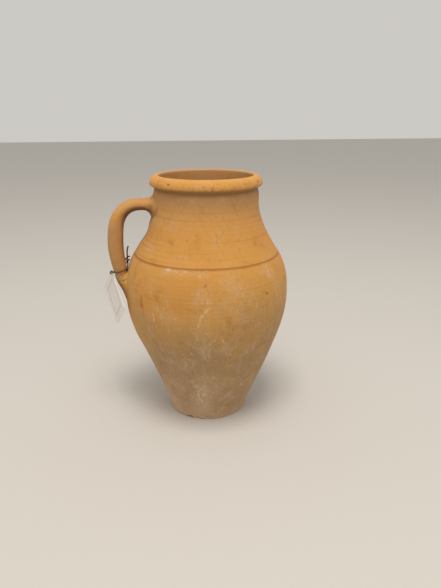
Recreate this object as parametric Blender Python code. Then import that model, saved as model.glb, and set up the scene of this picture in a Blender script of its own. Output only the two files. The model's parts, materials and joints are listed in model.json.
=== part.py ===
"""A hand-thrown earthenware jar with one pulled handle, and a card tag tied to the handle.

The jar is put together as a potter does it: a thrown lower body, a shoulder and neck luted on
at the incised line, a rolled rim, a pulled handle, and soft clay smeared round each end of the
handle. A lace goes once round the foot of the handle and through the tag, and is hitched round
itself, so that the tag swings on the lace.

Metres, +Z up. The origin is the middle of the base, and the handle stands towards -X.
"""

import math

import bmesh
import bpy
from mathutils import Matrix, Vector

MM = 0.001

# Outer wall, from the foot up: each station's rise from the one below, its radius and its slope
FOOT_RADIUS = 54.0 * MM
FOOT_SLOPE = 0.2
FOOT_ROUND = 2.4 * MM
ANKLE_RISE = 20.0 * MM
ANKLE_RADIUS = 60.0 * MM
ANKLE_SLOPE = 0.4
HIP_RISE = 93.0 * MM
HIP_RADIUS = 97.2 * MM
HIP_SLOPE = 0.41
BELLY_RISE = 59.6 * MM
BELLY_RADIUS = 109.8 * MM
SHOULDER_RISE = 56.1 * MM
SHOULDER_RADIUS = 96.6 * MM
SHOULDER_SLOPE = -0.66
NECK_RISE = 69.3 * MM
NECK_RADIUS = 68.8 * MM
NECK_LENGTH = 15.2 * MM

# Wall and floor
FOOT_WALL = 10.5 * MM
NECK_WALL = 7.0 * MM
FLOOR_THICKNESS = 12.0 * MM
FLOOR_FILLET = 16.0 * MM

# Incised line, where the two thrown sections are luted together
GROOVE_WIDTH = 2.8 * MM
GROOVE_DEPTH = 1.2 * MM
GROOVE_SIDE_DEPTH = 0.84 * MM
GROOVE_SIDE_OFFSET = 0.84 * MM

# Rolled rim, pressed down on the edge of the neck: round outside, and flatter inside
RIM_OUTER_WIDTH = 8.1 * MM
RIM_INNER_WIDTH = 5.5 * MM
RIM_INNER_SQUARENESS = 4.0
RIM_HEIGHT = 17.8 * MM
RIM_BED = 1.3 * MM

# Handle: the middle line leaves the neck level, bows out past the fingers and leans in to the belly
HANDLE_TOP_DROP = 16.2 * MM
HANDLE_BOW_DROP = 54.0 * MM
HANDLE_FOOT_RISE = 18.0 * MM
HANDLE_FOOT_LEAN = math.radians(42.0)
FINGER_ROOM = 22.7 * MM
TOP_FULLNESS = 40.0 * MM
BOW_FULLNESS_ABOVE = 38.0 * MM
BOW_FULLNESS_BELOW = 16.0 * MM
FOOT_FULLNESS = 10.0 * MM
HANDLE_TOP_THICKNESS = 13.6 * MM
HANDLE_TOP_WIDTH = 27.0 * MM
HANDLE_BOW_THICKNESS = 20.0 * MM
HANDLE_BOW_WIDTH = 24.0 * MM
HANDLE_FOOT_THICKNESS = 15.5 * MM
HANDLE_FOOT_WIDTH = 19.0 * MM
HANDLE_SQUARENESS = 2.4
ROOT_RUN = 16.0 * MM

# Clay smeared round the handle's two ends: how far up the handle it goes, its lip there, how far it
# spreads from the handle on the outer side, the inner side and beside it, and how far its root runs in
TOP_LUTE_LENGTH = 10.0 * MM
TOP_LUTE_LIP = 0.9 * MM
TOP_LUTE_SPREAD_OUTER = 3.0 * MM
TOP_LUTE_SPREAD_INNER = 7.5 * MM
TOP_LUTE_SPREAD_SIDE = 7.0 * MM
TOP_LUTE_ROOT = 6.0 * MM
FOOT_LUTE_LENGTH = 13.0 * MM
FOOT_LUTE_LIP = 1.0 * MM
FOOT_LUTE_SPREAD_OUTER = 9.0 * MM
FOOT_LUTE_SPREAD_INNER = 5.0 * MM
FOOT_LUTE_SPREAD_SIDE = 8.0 * MM
FOOT_LUTE_ROOT = 26.0 * MM

# Gap left between pieces that touch
SLIP_GAP = 0.3 * MM

# Lace round the foot of the handle, in a plane that tips down to the outer side
LACE_DIAMETER = 2.0 * MM
TIE_DROP = 35.5 * MM
TIE_TILT = math.radians(21.5)

# Card tag: size, hole and the way it hangs
TAG_WIDTH = 54.0 * MM
TAG_LENGTH = 59.0 * MM
TAG_THICKNESS = 0.6 * MM
TAG_CORNER = 3.0 * MM
TAG_HOLE = 5.0 * MM
TAG_HOLE_INSET = 4.5 * MM
TAG_TURN = math.radians(19.5)
TAG_LEAN = math.radians(4.0)

# Heights of the stations above the base
ANKLE_Z = ANKLE_RISE
HIP_Z = ANKLE_Z + HIP_RISE
BELLY_Z = HIP_Z + BELLY_RISE
SHOULDER_Z = BELLY_Z + SHOULDER_RISE
NECK_Z = SHOULDER_Z + NECK_RISE
RIM_SEAT_Z = NECK_Z + NECK_LENGTH

# Facets
TURN_STEPS = 60
FOOT_EDGE_RINGS = 4
ANKLE_RINGS = 4
HIP_RINGS = 5
BELLY_RINGS = 6
SHOULDER_RINGS = 7
NECK_RINGS = 11
INNER_BODY_RINGS = 14
INNER_NECK_RINGS = 9
FILLET_RINGS = 5
RIM_SIDES = 20
LOWER_CUTTER_RINGS = 12
UPPER_CUTTER_RINGS = 18
HANDLE_SIDES = 24
HANDLE_RINGS = 26
LUTE_RINGS = 8
LUTE_SEARCH_STEPS = 160
LUTE_SHIFT = 0.5
HITCH_STEPS = 9
ROUTE_STEPS = 25
LACE_STEPS = 78
LACE_ROUNDNESS = 2
HOLE_SIDES = 24
CORNER_STEPS = 6
SMOOTH_ANGLE = math.radians(35.0)

# Step of the searches along the handle's middle line
FINE_STEP = 0.001

# Handle parameter at the neck, at the bow and at the foot
AT_NECK, AT_BOW, AT_FOOT = 0.0, 0.5, 1.0

WALL_STATIONS = (
    (0.0, FOOT_RADIUS, FOOT_SLOPE),
    (ANKLE_Z, ANKLE_RADIUS, ANKLE_SLOPE),
    (HIP_Z, HIP_RADIUS, HIP_SLOPE),
    (BELLY_Z, BELLY_RADIUS, 0.0),
    (SHOULDER_Z, SHOULDER_RADIUS, SHOULDER_SLOPE),
    (NECK_Z, NECK_RADIUS, 0.0),
    (RIM_SEAT_Z, NECK_RADIUS, 0.0),
)

# The lace's route in the tie's frame, in millimetres: out from the handle, across it, along it.
# It starts at the long tail, goes round the handle and through the tag, and ends in the hitch.
TAG_HOLE_PLACE = (13.4, 1.0, -0.5)
HITCH_START = (-12.7, 6.1, 4.75)
HITCH_END = (-14.3, 6.4, 9.35)
HITCH_SLACK = 0.8
LACE_ROUTE = (
    (-22.1, 3.0, 24.1), (-19.0, 4.4, 20.2), (-16.8, 5.4, 15.8), (-15.4, 6.2, 12.0),
    HITCH_END, HITCH_START, (-11.6, 4.4, 2.2), (-10.6, 1.6, 0.8),
    (-10.3, -1.6, 0.4), (-9.5, -6.2, 0.2), (-7.3, -9.7, 0.1), (-3.0, -12.2, 0.0),
    (3.0, -12.2, 0.3), (7.3, -9.9, 1.3), (9.4, -7.6, 2.6), (10.6, -4.6, 3.7),
    (12.9, -3.2, 2.9), (14.2, -0.7, 0.9), TAG_HOLE_PLACE, (12.4, 2.5, -1.2),
    (9.9, 6.0, -1.0), (7.4, 9.8, -0.4), (3.0, 12.2, 0.2), (-3.0, 12.3, 0.9),
    (-7.1, 11.2, 1.9), (-10.4, 10.2, 3.2),
)
LACE_SHORT_TAIL = ((-16.0, 11.2, 9.2), (-17.0, 13.4, 8.2))

CLAY_COLOUR = (0.46, 0.27, 0.155, 1.0)
CLAY_ROUGHNESS = 0.88
LACE_COLOUR = (0.09, 0.04, 0.018, 1.0)
LACE_ROUGHNESS = 0.6
CARD_COLOUR = (0.83, 0.81, 0.76, 1.0)
CARD_ROUGHNESS = 0.7


def clear_scene():
    for old in list(bpy.data.objects):
        bpy.data.objects.remove(old, do_unlink=True)


def plain_material(name, colour, roughness):
    material = bpy.data.materials.new(name)
    material.use_nodes = True
    shader = material.node_tree.nodes["Principled BSDF"]
    shader.inputs["Base Color"].default_value = colour
    shader.inputs["Roughness"].default_value = roughness
    shader.inputs["Metallic"].default_value = 0.0
    return material


# Outer wall and its thickness


def wall_radius_and_slope(height):
    """The outer wall's radius and slope at a height: smooth curves from station to station."""
    if height >= RIM_SEAT_Z:
        return NECK_RADIUS, 0.0
    for low, high in zip(WALL_STATIONS, WALL_STATIONS[1:]):
        if height < high[0]:
            break
    rise = high[0] - low[0]
    t = max(0.0, (height - low[0]) / rise)
    radius = (
        (2 * t**3 - 3 * t**2 + 1) * low[1]
        + (t**3 - 2 * t**2 + t) * rise * low[2]
        + (3 * t**2 - 2 * t**3) * high[1]
        + (t**3 - t**2) * rise * high[2]
    )
    slope = (
        6 * (t**2 - t) * (low[1] - high[1]) / rise
        + (3 * t**2 - 4 * t + 1) * low[2]
        + (3 * t**2 - 2 * t) * high[2]
    )
    return radius, slope


def wall_thickness(height):
    share = height / RIM_SEAT_Z
    return FOOT_WALL + (NECK_WALL - FOOT_WALL) * share


def wall_point(height, depth=0.0, along=0.0):
    """A point (radius, height) of the wall's section: depth inside the outer face, moved along it."""
    radius, slope = wall_radius_and_slope(height)
    size = math.hypot(1.0, slope)
    return (
        radius - depth / size + along * slope / size,
        height + depth * slope / size + along / size,
    )


def heights(low, high, count):
    return [low + (high - low) * step / (count - 1) for step in range(count)]


def bezier(points, t):
    """A point of the Bezier curve that these control points, numbers or vectors, give."""
    level = list(points)
    while len(level) > 1:
        level = [a * (1.0 - t) + b * t for a, b in zip(level, level[1:])]
    return level[0]


# Thrown pieces


def finish_mesh(name, mesh, material, smooth=True):
    """The object made of this bmesh, with its faces turned out and, on clay, its soft edges smooth."""
    bmesh.ops.recalc_face_normals(mesh, faces=mesh.faces)
    data = bpy.data.meshes.new(name)
    mesh.to_mesh(data)
    mesh.free()
    data.materials.append(material)
    if smooth:
        data.shade_smooth()
        data.set_sharp_from_angle(angle=SMOOTH_ANGLE)
    obj = bpy.data.objects.new(name, data)
    bpy.context.scene.collection.objects.link(obj)
    return obj


def turned(name, profile, material, ring=False):
    """A solid of revolution: an open profile ends on the axis, and a ring's profile is closed.

    It starts half a facet round, so that the handle meets the middle of a facet.
    """
    half_facet = math.pi / TURN_STEPS
    x, y = math.cos(half_facet), math.sin(half_facet)
    mesh = bmesh.new()
    verts = [mesh.verts.new((radius * x, radius * y, height)) for radius, height in profile]
    edges = [mesh.edges.new(pair) for pair in zip(verts, verts[1:])]
    if ring:
        edges.append(mesh.edges.new((verts[-1], verts[0])))
    bmesh.ops.spin(
        mesh,
        geom=verts + edges,
        cent=(0.0, 0.0, 0.0),
        axis=(0.0, 0.0, 1.0),
        angle=math.tau,
        steps=TURN_STEPS,
        use_merge=True,
    )
    bmesh.ops.remove_doubles(mesh, verts=mesh.verts, dist=1e-6)
    return finish_mesh(name, mesh, material)


def foot_edge():
    """The rounded edge between the flat base and the wall."""
    top, _ = wall_point(FOOT_ROUND)
    start, corner, end = (top - FOOT_ROUND, 0.0), (top, 0.0), (top, FOOT_ROUND)
    return [
        tuple(bezier((start[axis], corner[axis], end[axis]), t) for axis in range(2))
        for t in heights(0.0, 1.0, FOOT_EDGE_RINGS)
    ]


def floor_fillet():
    """The curve from the inner wall to the floor, ending on the axis."""
    wall_end = FLOOR_THICKNESS + FLOOR_FILLET
    start = wall_point(wall_end, wall_thickness(wall_end))
    corner_radius, _ = wall_point(FLOOR_THICKNESS, wall_thickness(FLOOR_THICKNESS))
    corner = (corner_radius, FLOOR_THICKNESS)
    end = (corner_radius - FLOOR_FILLET, FLOOR_THICKNESS)
    curve = [
        tuple(bezier((start[axis], corner[axis], end[axis]), t) for axis in range(2))
        for t in heights(0.0, 1.0, FILLET_RINGS)
    ]
    return curve + [(0.0, FLOOR_THICKNESS)]


def groove_side(direction, gap):
    """Half of the incised line, from the wall to its bottom; direction is +1 above, -1 below."""
    half = GROOVE_WIDTH / 2.0
    return [
        wall_point(SHOULDER_Z, 0.0, direction * half),
        wall_point(SHOULDER_Z, GROOVE_SIDE_DEPTH, direction * GROOVE_SIDE_OFFSET),
        wall_point(SHOULDER_Z, GROOVE_DEPTH, direction * gap),
    ]


def make_lower_body(clay):
    outer = [wall_point(height) for height in heights(FOOT_ROUND, ANKLE_Z, ANKLE_RINGS)[1:]]
    outer += [wall_point(height) for height in heights(ANKLE_Z, HIP_Z, HIP_RINGS)[1:]]
    outer += [wall_point(height) for height in heights(HIP_Z, BELLY_Z, BELLY_RINGS)[1:]]
    outer += [wall_point(height) for height in heights(BELLY_Z, SHOULDER_Z, SHOULDER_RINGS)[1:-1]]
    joint = groove_side(-1.0, 0.0)
    inner_end = FLOOR_THICKNESS + FLOOR_FILLET
    inner = [
        wall_point(height, wall_thickness(height))
        for height in heights(SHOULDER_Z, inner_end, INNER_BODY_RINGS)[:-1]
    ]
    profile = [(0.0, 0.0)] + foot_edge() + outer + joint + inner + floor_fillet()
    return turned("lower_body", profile, clay)


def make_shoulder_and_neck(clay):
    joint = groove_side(1.0, SLIP_GAP)[::-1]
    outer = [wall_point(height) for height in heights(SHOULDER_Z, NECK_Z, NECK_RINGS)[1:]]
    outer.append((NECK_RADIUS, RIM_SEAT_Z))
    inner = [(NECK_RADIUS - NECK_WALL, RIM_SEAT_Z)]
    inner += [
        wall_point(height, wall_thickness(height))
        for height in heights(NECK_Z, SHOULDER_Z, INNER_NECK_RINGS)[:-1]
    ]
    inner.append(wall_point(SHOULDER_Z, wall_thickness(SHOULDER_Z), SLIP_GAP))
    return turned("shoulder_and_neck", joint + outer + inner, clay, ring=True)


def rim_point(angle):
    """A point (radius, height) of the rim's section: half an oval outside, a squarer half inside."""
    middle_radius = NECK_RADIUS - NECK_WALL / 2.0
    middle_z = RIM_SEAT_Z + RIM_HEIGHT / 2.0 - RIM_BED + SLIP_GAP
    c, s = math.cos(angle), math.sin(angle)
    if c < 0.0:
        power = 2.0 / RIM_INNER_SQUARENESS
        reach, rise = -RIM_INNER_WIDTH * (-c) ** power, math.copysign(abs(s) ** power, s)
    else:
        reach, rise = RIM_OUTER_WIDTH * c, s
    return middle_radius + reach, middle_z + RIM_HEIGHT / 2.0 * rise


def make_rolled_rim(clay):
    """A roll of clay whose underside is pressed flat on the edge of the neck."""
    bed = 1.0 - 2.0 * RIM_BED / RIM_HEIGHT
    outer_end = -math.asin(bed)
    inner_end = math.pi + math.asin(bed ** (RIM_INNER_SQUARENESS / 2.0))
    section = [rim_point(angle) for angle in heights(outer_end, inner_end, RIM_SIDES)]
    return turned("rolled_rim", section, clay, ring=True)


def make_wall_cutter(name, gap):
    """The jar's outer form as a solid, this much larger: it cuts what is pressed on the wall."""
    levels = heights(FOOT_ROUND, BELLY_Z, LOWER_CUTTER_RINGS)
    levels += heights(BELLY_Z, NECK_Z, UPPER_CUTTER_RINGS)[1:] + [RIM_SEAT_Z]
    outer = [wall_point(height, -gap) for height in levels]
    profile = [(0.0, FOOT_ROUND)] + outer + [(0.0, RIM_SEAT_Z)]
    cutter = turned(name, profile, bpy.data.materials["earthenware"])
    return as_cutter(cutter)


def as_cutter(obj):
    obj.hide_render = True
    obj.display_type = "WIRE"
    return obj


def cut(obj, cutter):
    modifier = obj.modifiers.new("cut by " + cutter.name, "BOOLEAN")
    modifier.operation = "DIFFERENCE"
    modifier.solver = "EXACT"
    modifier.object = cutter


# Handle


def handle_curves():
    """The middle line's two Bezier curves in the plane of the handle, as (reach, height) vectors."""
    top_z = RIM_SEAT_Z - HANDLE_TOP_DROP
    bow_z = top_z - HANDLE_BOW_DROP
    foot_z = BELLY_Z + HANDLE_FOOT_RISE
    bow_reach = wall_radius_and_slope(bow_z)[0] + FINGER_ROOM + HANDLE_BOW_THICKNESS / 2.0
    top = Vector((NECK_RADIUS, top_z))
    bow = Vector((bow_reach, bow_z))
    foot = Vector((wall_radius_and_slope(foot_z)[0], foot_z))
    foot_way = Vector((-math.sin(HANDLE_FOOT_LEAN), -math.cos(HANDLE_FOOT_LEAN)))
    above = (
        top,
        top + Vector((TOP_FULLNESS, 0.0)),
        bow + Vector((0.0, BOW_FULLNESS_ABOVE)),
        bow,
    )
    below = (
        bow,
        bow - Vector((0.0, BOW_FULLNESS_BELOW)),
        foot - foot_way * FOOT_FULLNESS,
        foot,
    )
    return above, below


def handle_place(at):
    """The middle line's point and direction at a parameter."""
    above, below = handle_curves()
    if at < AT_BOW:
        points, t = above, at / AT_BOW
    else:
        points, t = below, (at - AT_BOW) / (AT_FOOT - AT_BOW)
    steps = [b - a for a, b in zip(points, points[1:])]
    return bezier(points, t), bezier(steps, t).normalized()


def handle_size(at):
    """The section's thickness and width: it starts as a strap and gets rounder downwards."""
    top = (HANDLE_TOP_THICKNESS, HANDLE_TOP_WIDTH)
    bow = (HANDLE_BOW_THICKNESS, HANDLE_BOW_WIDTH)
    foot = (HANDLE_FOOT_THICKNESS, HANDLE_FOOT_WIDTH)
    if at < AT_BOW:
        start, end, share = top, bow, at / AT_BOW
    else:
        start, end, share = bow, foot, (at - AT_BOW) / (AT_FOOT - AT_BOW)
    eased = share**2 * (3.0 - 2.0 * share)
    return tuple(a + (b - a) * eased for a, b in zip(start, end))


def oval_direction(step):
    """A point of the unit section: a rounded square between a circle and a strap."""
    power = 2.0 / HANDLE_SQUARENESS
    turn = math.tau * step / HANDLE_SIDES
    c, s = math.cos(turn), math.sin(turn)
    return (
        math.copysign(abs(c) ** power, c),
        math.copysign(abs(s) ** power, s),
    )


def handle_point(at, step, outer=0.0, inner=0.0, side=0.0, run=0.0):
    """A point of one section, grown on its outer side, inner side and beside, moved along the line."""
    place, way = handle_place(at)
    thickness, width = handle_size(at)
    outward = Vector((-way.y, way.x))
    c, s = oval_direction(step)
    reach = c * (thickness / 2.0 + (outer if c > 0.0 else inner))
    in_plane = place + way * run + outward * reach
    return Vector((-in_plane.x, s * (width / 2.0 + side), in_plane.y))


def handle_ring(at, grow=0.0, run=0.0):
    """One section of the handle, grown all round and moved along the middle line."""
    return [
        handle_point(at, step, grow, grow, grow, run) for step in range(HANDLE_SIDES)
    ]


def lofted(name, rings, material):
    """A closed body through rings of the same number of points."""
    mesh = bmesh.new()
    rows = [[mesh.verts.new(point) for point in ring] for ring in rings]
    for lower, upper in zip(rows, rows[1:]):
        for step in range(len(lower)):
            following = (step + 1) % len(lower)
            mesh.faces.new((lower[step], lower[following], upper[following], upper[step]))
    for row in (rows[0], rows[-1]):
        middle = mesh.verts.new(sum((vert.co for vert in row), Vector()) / len(row))
        for step in range(len(row)):
            mesh.faces.new((row[step], row[(step + 1) % len(row)], middle))
    bmesh.ops.triangulate(mesh, faces=mesh.faces)
    return finish_mesh(name, mesh, material)


def handle_rings(grow=0.0):
    """All sections, with both ends run on into the wall."""
    rings = [handle_ring(AT_NECK, grow, -ROOT_RUN)]
    rings += [handle_ring(at, grow) for at in heights(AT_NECK, AT_FOOT, HANDLE_RINGS)]
    rings.append(handle_ring(AT_FOOT, grow, ROOT_RUN))
    return rings


def make_handle(clay, wall_cutter):
    handle = lofted("handle", handle_rings(), clay)
    cut(handle, wall_cutter)
    return handle


# Clay smeared round the ends of the handle


def parameter_at_distance(start, step, distance):
    """The handle's parameter this far along the middle line from a parameter."""
    at, walked = start, 0.0
    place = handle_place(at)[0]
    while walked < distance:
        at += step
        following = handle_place(at)[0]
        walked += (following - place).length
        place = following
    return at


def lute_station(end, way_in, length, walked):
    """The handle's parameter and the run past its end, this far from the lute's lip to its root."""
    left = length - walked
    at = parameter_at_distance(end, -way_in * FINE_STEP, left)
    return at, way_in * max(-left, 0.0)


def distance_to_wall(stations, step, spread):
    """How far from the lip a line of the lute, at this spread, goes into the wall."""
    for walked, at, run in stations:
        point = handle_point(at, step, *spread, run)
        if math.hypot(point.x, point.y) < wall_radius_and_slope(point.z)[0]:
            break
    return walked


def lute_rings(end, way_in, length, root, lip, spread):
    """Sections from the lip on the handle to the root in the wall.

    Each line of the lute leaves the handle in a hollow curve and has its whole spread at the wall;
    a line that starts close to the wall spreads less.
    """
    stations = [
        (walked, *lute_station(end, way_in, length, walked))
        for walked in heights(0.0, length + root, LUTE_SEARCH_STEPS)
    ]
    plain = [lip] * len(spread)
    lines = []
    for step in range(HANDLE_SIDES):
        turn = step + LUTE_SHIFT
        reach = distance_to_wall(stations, turn, plain)
        flare = [amount * min(reach / length, 1.0) for amount in spread]
        whole = [lip + amount for amount in flare]
        to_wall = distance_to_wall(stations, turn, whole)
        line = []
        for share in heights(0.0, 1.0, LUTE_RINGS):
            at, run = lute_station(end, way_in, length, share * to_wall)
            grown = [lip + amount * share**2 for amount in flare]
            line.append(handle_point(at, turn, *grown, run))
        line.append(handle_point(end, turn, *whole, way_in * root))
        lines.append(line)
    return [list(ring) for ring in zip(*lines)]


def make_lute(name, rings, clay, cutters):
    lute = lofted(name, rings, clay)
    for cutter in cutters:
        cut(lute, cutter)
    facets = lute.modifiers.new("even facets", "TRIANGULATE")
    facets.ngon_method = "BEAUTY"
    return lute


def make_lutes(clay, wall_cutter, handle_cutter):
    top = lute_rings(
        AT_NECK, -1.0, TOP_LUTE_LENGTH, TOP_LUTE_ROOT, TOP_LUTE_LIP,
        (TOP_LUTE_SPREAD_OUTER, TOP_LUTE_SPREAD_INNER, TOP_LUTE_SPREAD_SIDE),
    )
    foot = lute_rings(
        AT_FOOT, 1.0, FOOT_LUTE_LENGTH, FOOT_LUTE_ROOT, FOOT_LUTE_LIP,
        (FOOT_LUTE_SPREAD_OUTER, FOOT_LUTE_SPREAD_INNER, FOOT_LUTE_SPREAD_SIDE),
    )
    cutters = (handle_cutter, wall_cutter)
    make_lute("handle_top_lute", top, clay, cutters)
    make_lute("handle_foot_lute", foot, clay, cutters)


# Lace and tag


def tie_frame():
    """The frame of the lace's turn: out from the jar, across the handle, and along it upwards."""
    bow_z = RIM_SEAT_Z - HANDLE_TOP_DROP - HANDLE_BOW_DROP
    at = AT_BOW
    while handle_place(at)[0].y > bow_z - TIE_DROP and at < AT_FOOT:
        at += FINE_STEP
    place = handle_place(at)[0]
    out = Vector((-math.cos(TIE_TILT), 0.0, -math.sin(TIE_TILT)))
    across = Vector((0.0, 1.0, 0.0))
    along = Vector((-math.sin(TIE_TILT), 0.0, math.cos(TIE_TILT)))
    return Vector((-place.x, 0.0, place.y)), out, across, along


def tie_point(route_point):
    origin, out, across, along = tie_frame()
    a, b, c = (value * MM for value in route_point)
    return origin + out * a + across * b + along * c


def smooth_route(points, count):
    """Points evenly spaced on the Catmull-Rom curve through the route's own points."""
    ends = [points[0] * 2.0 - points[1]] + list(points) + [points[-1] * 2.0 - points[-2]]
    fine = []
    for p0, p1, p2, p3 in zip(ends, ends[1:], ends[2:], ends[3:]):
        for t in heights(0.0, 1.0, ROUTE_STEPS)[:-1]:
            fine.append(
                p1
                + (p2 - p0) * (0.5 * t)
                + (p0 * 2.0 - p1 * 5.0 + p2 * 4.0 - p3) * (0.5 * t**2)
                + (p1 * 3.0 - p0 - p2 * 3.0 + p3) * (0.5 * t**3)
            )
    fine.append(points[-1])
    walked = [0.0]
    for a, b in zip(fine, fine[1:]):
        walked.append(walked[-1] + (b - a).length)
    even, index = [], 0
    for target in heights(0.0, walked[-1], count):
        while index < len(fine) - 2 and walked[index + 1] < target:
            index += 1
        share = (target - walked[index]) / (walked[index + 1] - walked[index])
        even.append(fine[index].lerp(fine[index + 1], min(share, 1.0)))
    return even, walked[-1]


def least_gap(points, diameter, length):
    """The least gap between stretches of the lace that are at least four diameters apart along it."""
    step = length / (len(points) - 1)
    apart = math.ceil(4.0 * diameter / step)
    return min(
        (a - b).length - diameter
        for index, a in enumerate(points)
        for b in points[index + apart:]
    )


def hitch():
    """One turn of the lace round its own long tail, in the tie's frame."""
    radius = LACE_DIAMETER / MM + HITCH_SLACK
    points = []
    for share in heights(0.0, 1.0, HITCH_STEPS):
        turn = math.radians(90.0 + 360.0 * share)
        a, b, c = (
            start + (end - start) * share for start, end in zip(HITCH_START, HITCH_END)
        )
        points.append((a + radius * math.cos(turn), b + radius * math.sin(turn), c))
    return points


def lace_route():
    points = list(LACE_ROUTE) + hitch() + list(LACE_SHORT_TAIL)
    return [tie_point(point) for point in points]


def make_tie_lace(leather):
    route = lace_route()
    points, length = smooth_route(route, LACE_STEPS)
    dense, _ = smooth_route(route, 6 * LACE_STEPS)
    gap = least_gap(dense, LACE_DIAMETER, length)
    print(f"tie_lace: {length / MM:.1f} mm long, least gap to itself {gap / MM:.2f} mm")
    curve = bpy.data.curves.new("tie_lace", "CURVE")
    curve.dimensions = "3D"
    curve.bevel_depth = LACE_DIAMETER / 2.0
    curve.bevel_resolution = LACE_ROUNDNESS
    curve.use_fill_caps = True
    spline = curve.splines.new("POLY")
    spline.points.add(len(points) - 1)
    for spot, place in zip(spline.points, points):
        spot.co = (*place, 1.0)
    curve.materials.append(leather)
    lace = bpy.data.objects.new("tie_lace", curve)
    bpy.context.scene.collection.objects.link(lace)


def tag_matrix():
    """The tag's frame at its hole: X to the jar's front, -Y out along the hole, Z up in the card."""
    front = Vector((math.sin(TAG_TURN), -math.cos(TAG_TURN), 0.0))
    level_out = Vector((-math.cos(TAG_TURN), -math.sin(TAG_TURN), 0.0))
    up = Vector((0.0, 0.0, math.cos(TAG_LEAN))) + level_out * math.sin(TAG_LEAN)
    back = up.cross(front)
    turn = Matrix((front, back, up)).transposed().to_4x4()
    return Matrix.Translation(tie_point(TAG_HOLE_PLACE)) @ turn


def card_outline():
    """The card's rounded corners in its own plane, with the hole at the origin and its middle below."""
    middle_x = TAG_HOLE_INSET - TAG_WIDTH / 2.0
    middle_z = TAG_HOLE_INSET - TAG_LENGTH / 2.0
    hang = math.atan2(-middle_x, -middle_z)
    half_x, half_z = TAG_WIDTH / 2.0 - TAG_CORNER, TAG_LENGTH / 2.0 - TAG_CORNER
    outline = []
    for quarter, (sign_x, sign_z) in enumerate(((1, 1), (-1, 1), (-1, -1), (1, -1))):
        for turn in heights(quarter, quarter + 1.0, CORNER_STEPS):
            x = middle_x + sign_x * half_x + TAG_CORNER * math.cos(turn * math.pi / 2.0)
            z = middle_z + sign_z * half_z + TAG_CORNER * math.sin(turn * math.pi / 2.0)
            outline.append((
                x * math.cos(hang) + z * -math.sin(hang),
                x * math.sin(hang) + z * math.cos(hang),
            ))
    return outline


def make_hang_tag(card):
    mesh = bmesh.new()
    half = TAG_THICKNESS / 2.0
    face = mesh.faces.new([mesh.verts.new((x, -half, z)) for x, z in card_outline()])
    grown = bmesh.ops.extrude_face_region(mesh, geom=[face])
    moved = [item for item in grown["geom"] if isinstance(item, bmesh.types.BMVert)]
    bmesh.ops.translate(mesh, verts=moved, vec=(0.0, TAG_THICKNESS, 0.0))
    tag = finish_mesh("hang_tag", mesh, card, smooth=False)
    punch_mesh = bmesh.new()
    bmesh.ops.create_cone(
        punch_mesh,
        cap_ends=True,
        segments=HOLE_SIDES,
        radius1=TAG_HOLE / 2.0,
        radius2=TAG_HOLE / 2.0,
        depth=TAG_HOLE,
        matrix=Matrix.Rotation(math.pi / 2.0, 4, "X"),
    )
    punch = as_cutter(finish_mesh("tag_hole_punch", punch_mesh, card, smooth=False))
    cut(tag, punch)
    tag.matrix_world = tag_matrix()
    punch.matrix_world = tag_matrix()


def main():
    clear_scene()
    clay = plain_material("earthenware", CLAY_COLOUR, CLAY_ROUGHNESS)
    leather = plain_material("lace_leather", LACE_COLOUR, LACE_ROUGHNESS)
    card = plain_material("tag_card", CARD_COLOUR, CARD_ROUGHNESS)
    make_lower_body(clay)
    make_shoulder_and_neck(clay)
    make_rolled_rim(clay)
    wall_cutter = make_wall_cutter("wall_cutter", SLIP_GAP)
    handle_cutter = as_cutter(lofted("handle_cutter", handle_rings(SLIP_GAP), clay))
    make_handle(clay, wall_cutter)
    make_lutes(clay, wall_cutter, handle_cutter)
    make_tie_lace(leather)
    make_hang_tag(card)


main()
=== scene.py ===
"""The looks of a hand-thrown earthenware jar with one pulled handle and a card tag on a lace."""

import json
import math
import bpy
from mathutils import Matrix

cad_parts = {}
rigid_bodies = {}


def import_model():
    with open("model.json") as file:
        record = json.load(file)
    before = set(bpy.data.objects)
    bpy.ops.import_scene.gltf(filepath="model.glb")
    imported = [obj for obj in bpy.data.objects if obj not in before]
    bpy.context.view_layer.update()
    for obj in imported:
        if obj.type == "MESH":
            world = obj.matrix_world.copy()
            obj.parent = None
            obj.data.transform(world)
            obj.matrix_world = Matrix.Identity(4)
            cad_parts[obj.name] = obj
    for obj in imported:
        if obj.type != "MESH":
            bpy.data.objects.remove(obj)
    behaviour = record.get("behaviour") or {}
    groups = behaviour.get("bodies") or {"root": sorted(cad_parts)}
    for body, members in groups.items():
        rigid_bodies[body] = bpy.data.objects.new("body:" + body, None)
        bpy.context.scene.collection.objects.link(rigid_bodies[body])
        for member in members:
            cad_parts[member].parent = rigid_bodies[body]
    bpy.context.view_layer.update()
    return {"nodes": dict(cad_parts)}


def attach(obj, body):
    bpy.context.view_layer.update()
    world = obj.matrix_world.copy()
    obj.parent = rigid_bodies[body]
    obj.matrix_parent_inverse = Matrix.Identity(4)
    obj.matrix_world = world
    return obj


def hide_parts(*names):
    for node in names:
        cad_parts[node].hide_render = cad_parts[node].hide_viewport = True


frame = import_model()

from types import SimpleNamespace

import bpy
import numpy as np
from mathutils import Euler, Matrix, Vector, noise

MM = 0.001

# Points nearer to each other than this are one point
WELD = 0.002 * MM

# Camera, as the photograph was taken; focus and middle are in pixels
CAMERA_PLACE = Vector((-0.0989, -0.7037, 0.4090))
CAMERA_TURN = Euler((math.radians(71.12), math.radians(0.05), math.radians(-9.535)))
CAMERA_LENS = 33.06
SENSOR_WIDTH = 36.0
NEAREST_SEEN = 0.02
PHOTO_FOCUS = 540.0
PHOTO_MIDDLE = (220.5, 294.0)

# How far along a line of sight the jar is looked for
SIGHT_START, SIGHT_STEP, SIGHT_STEPS = 0.4, MM, 800

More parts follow.
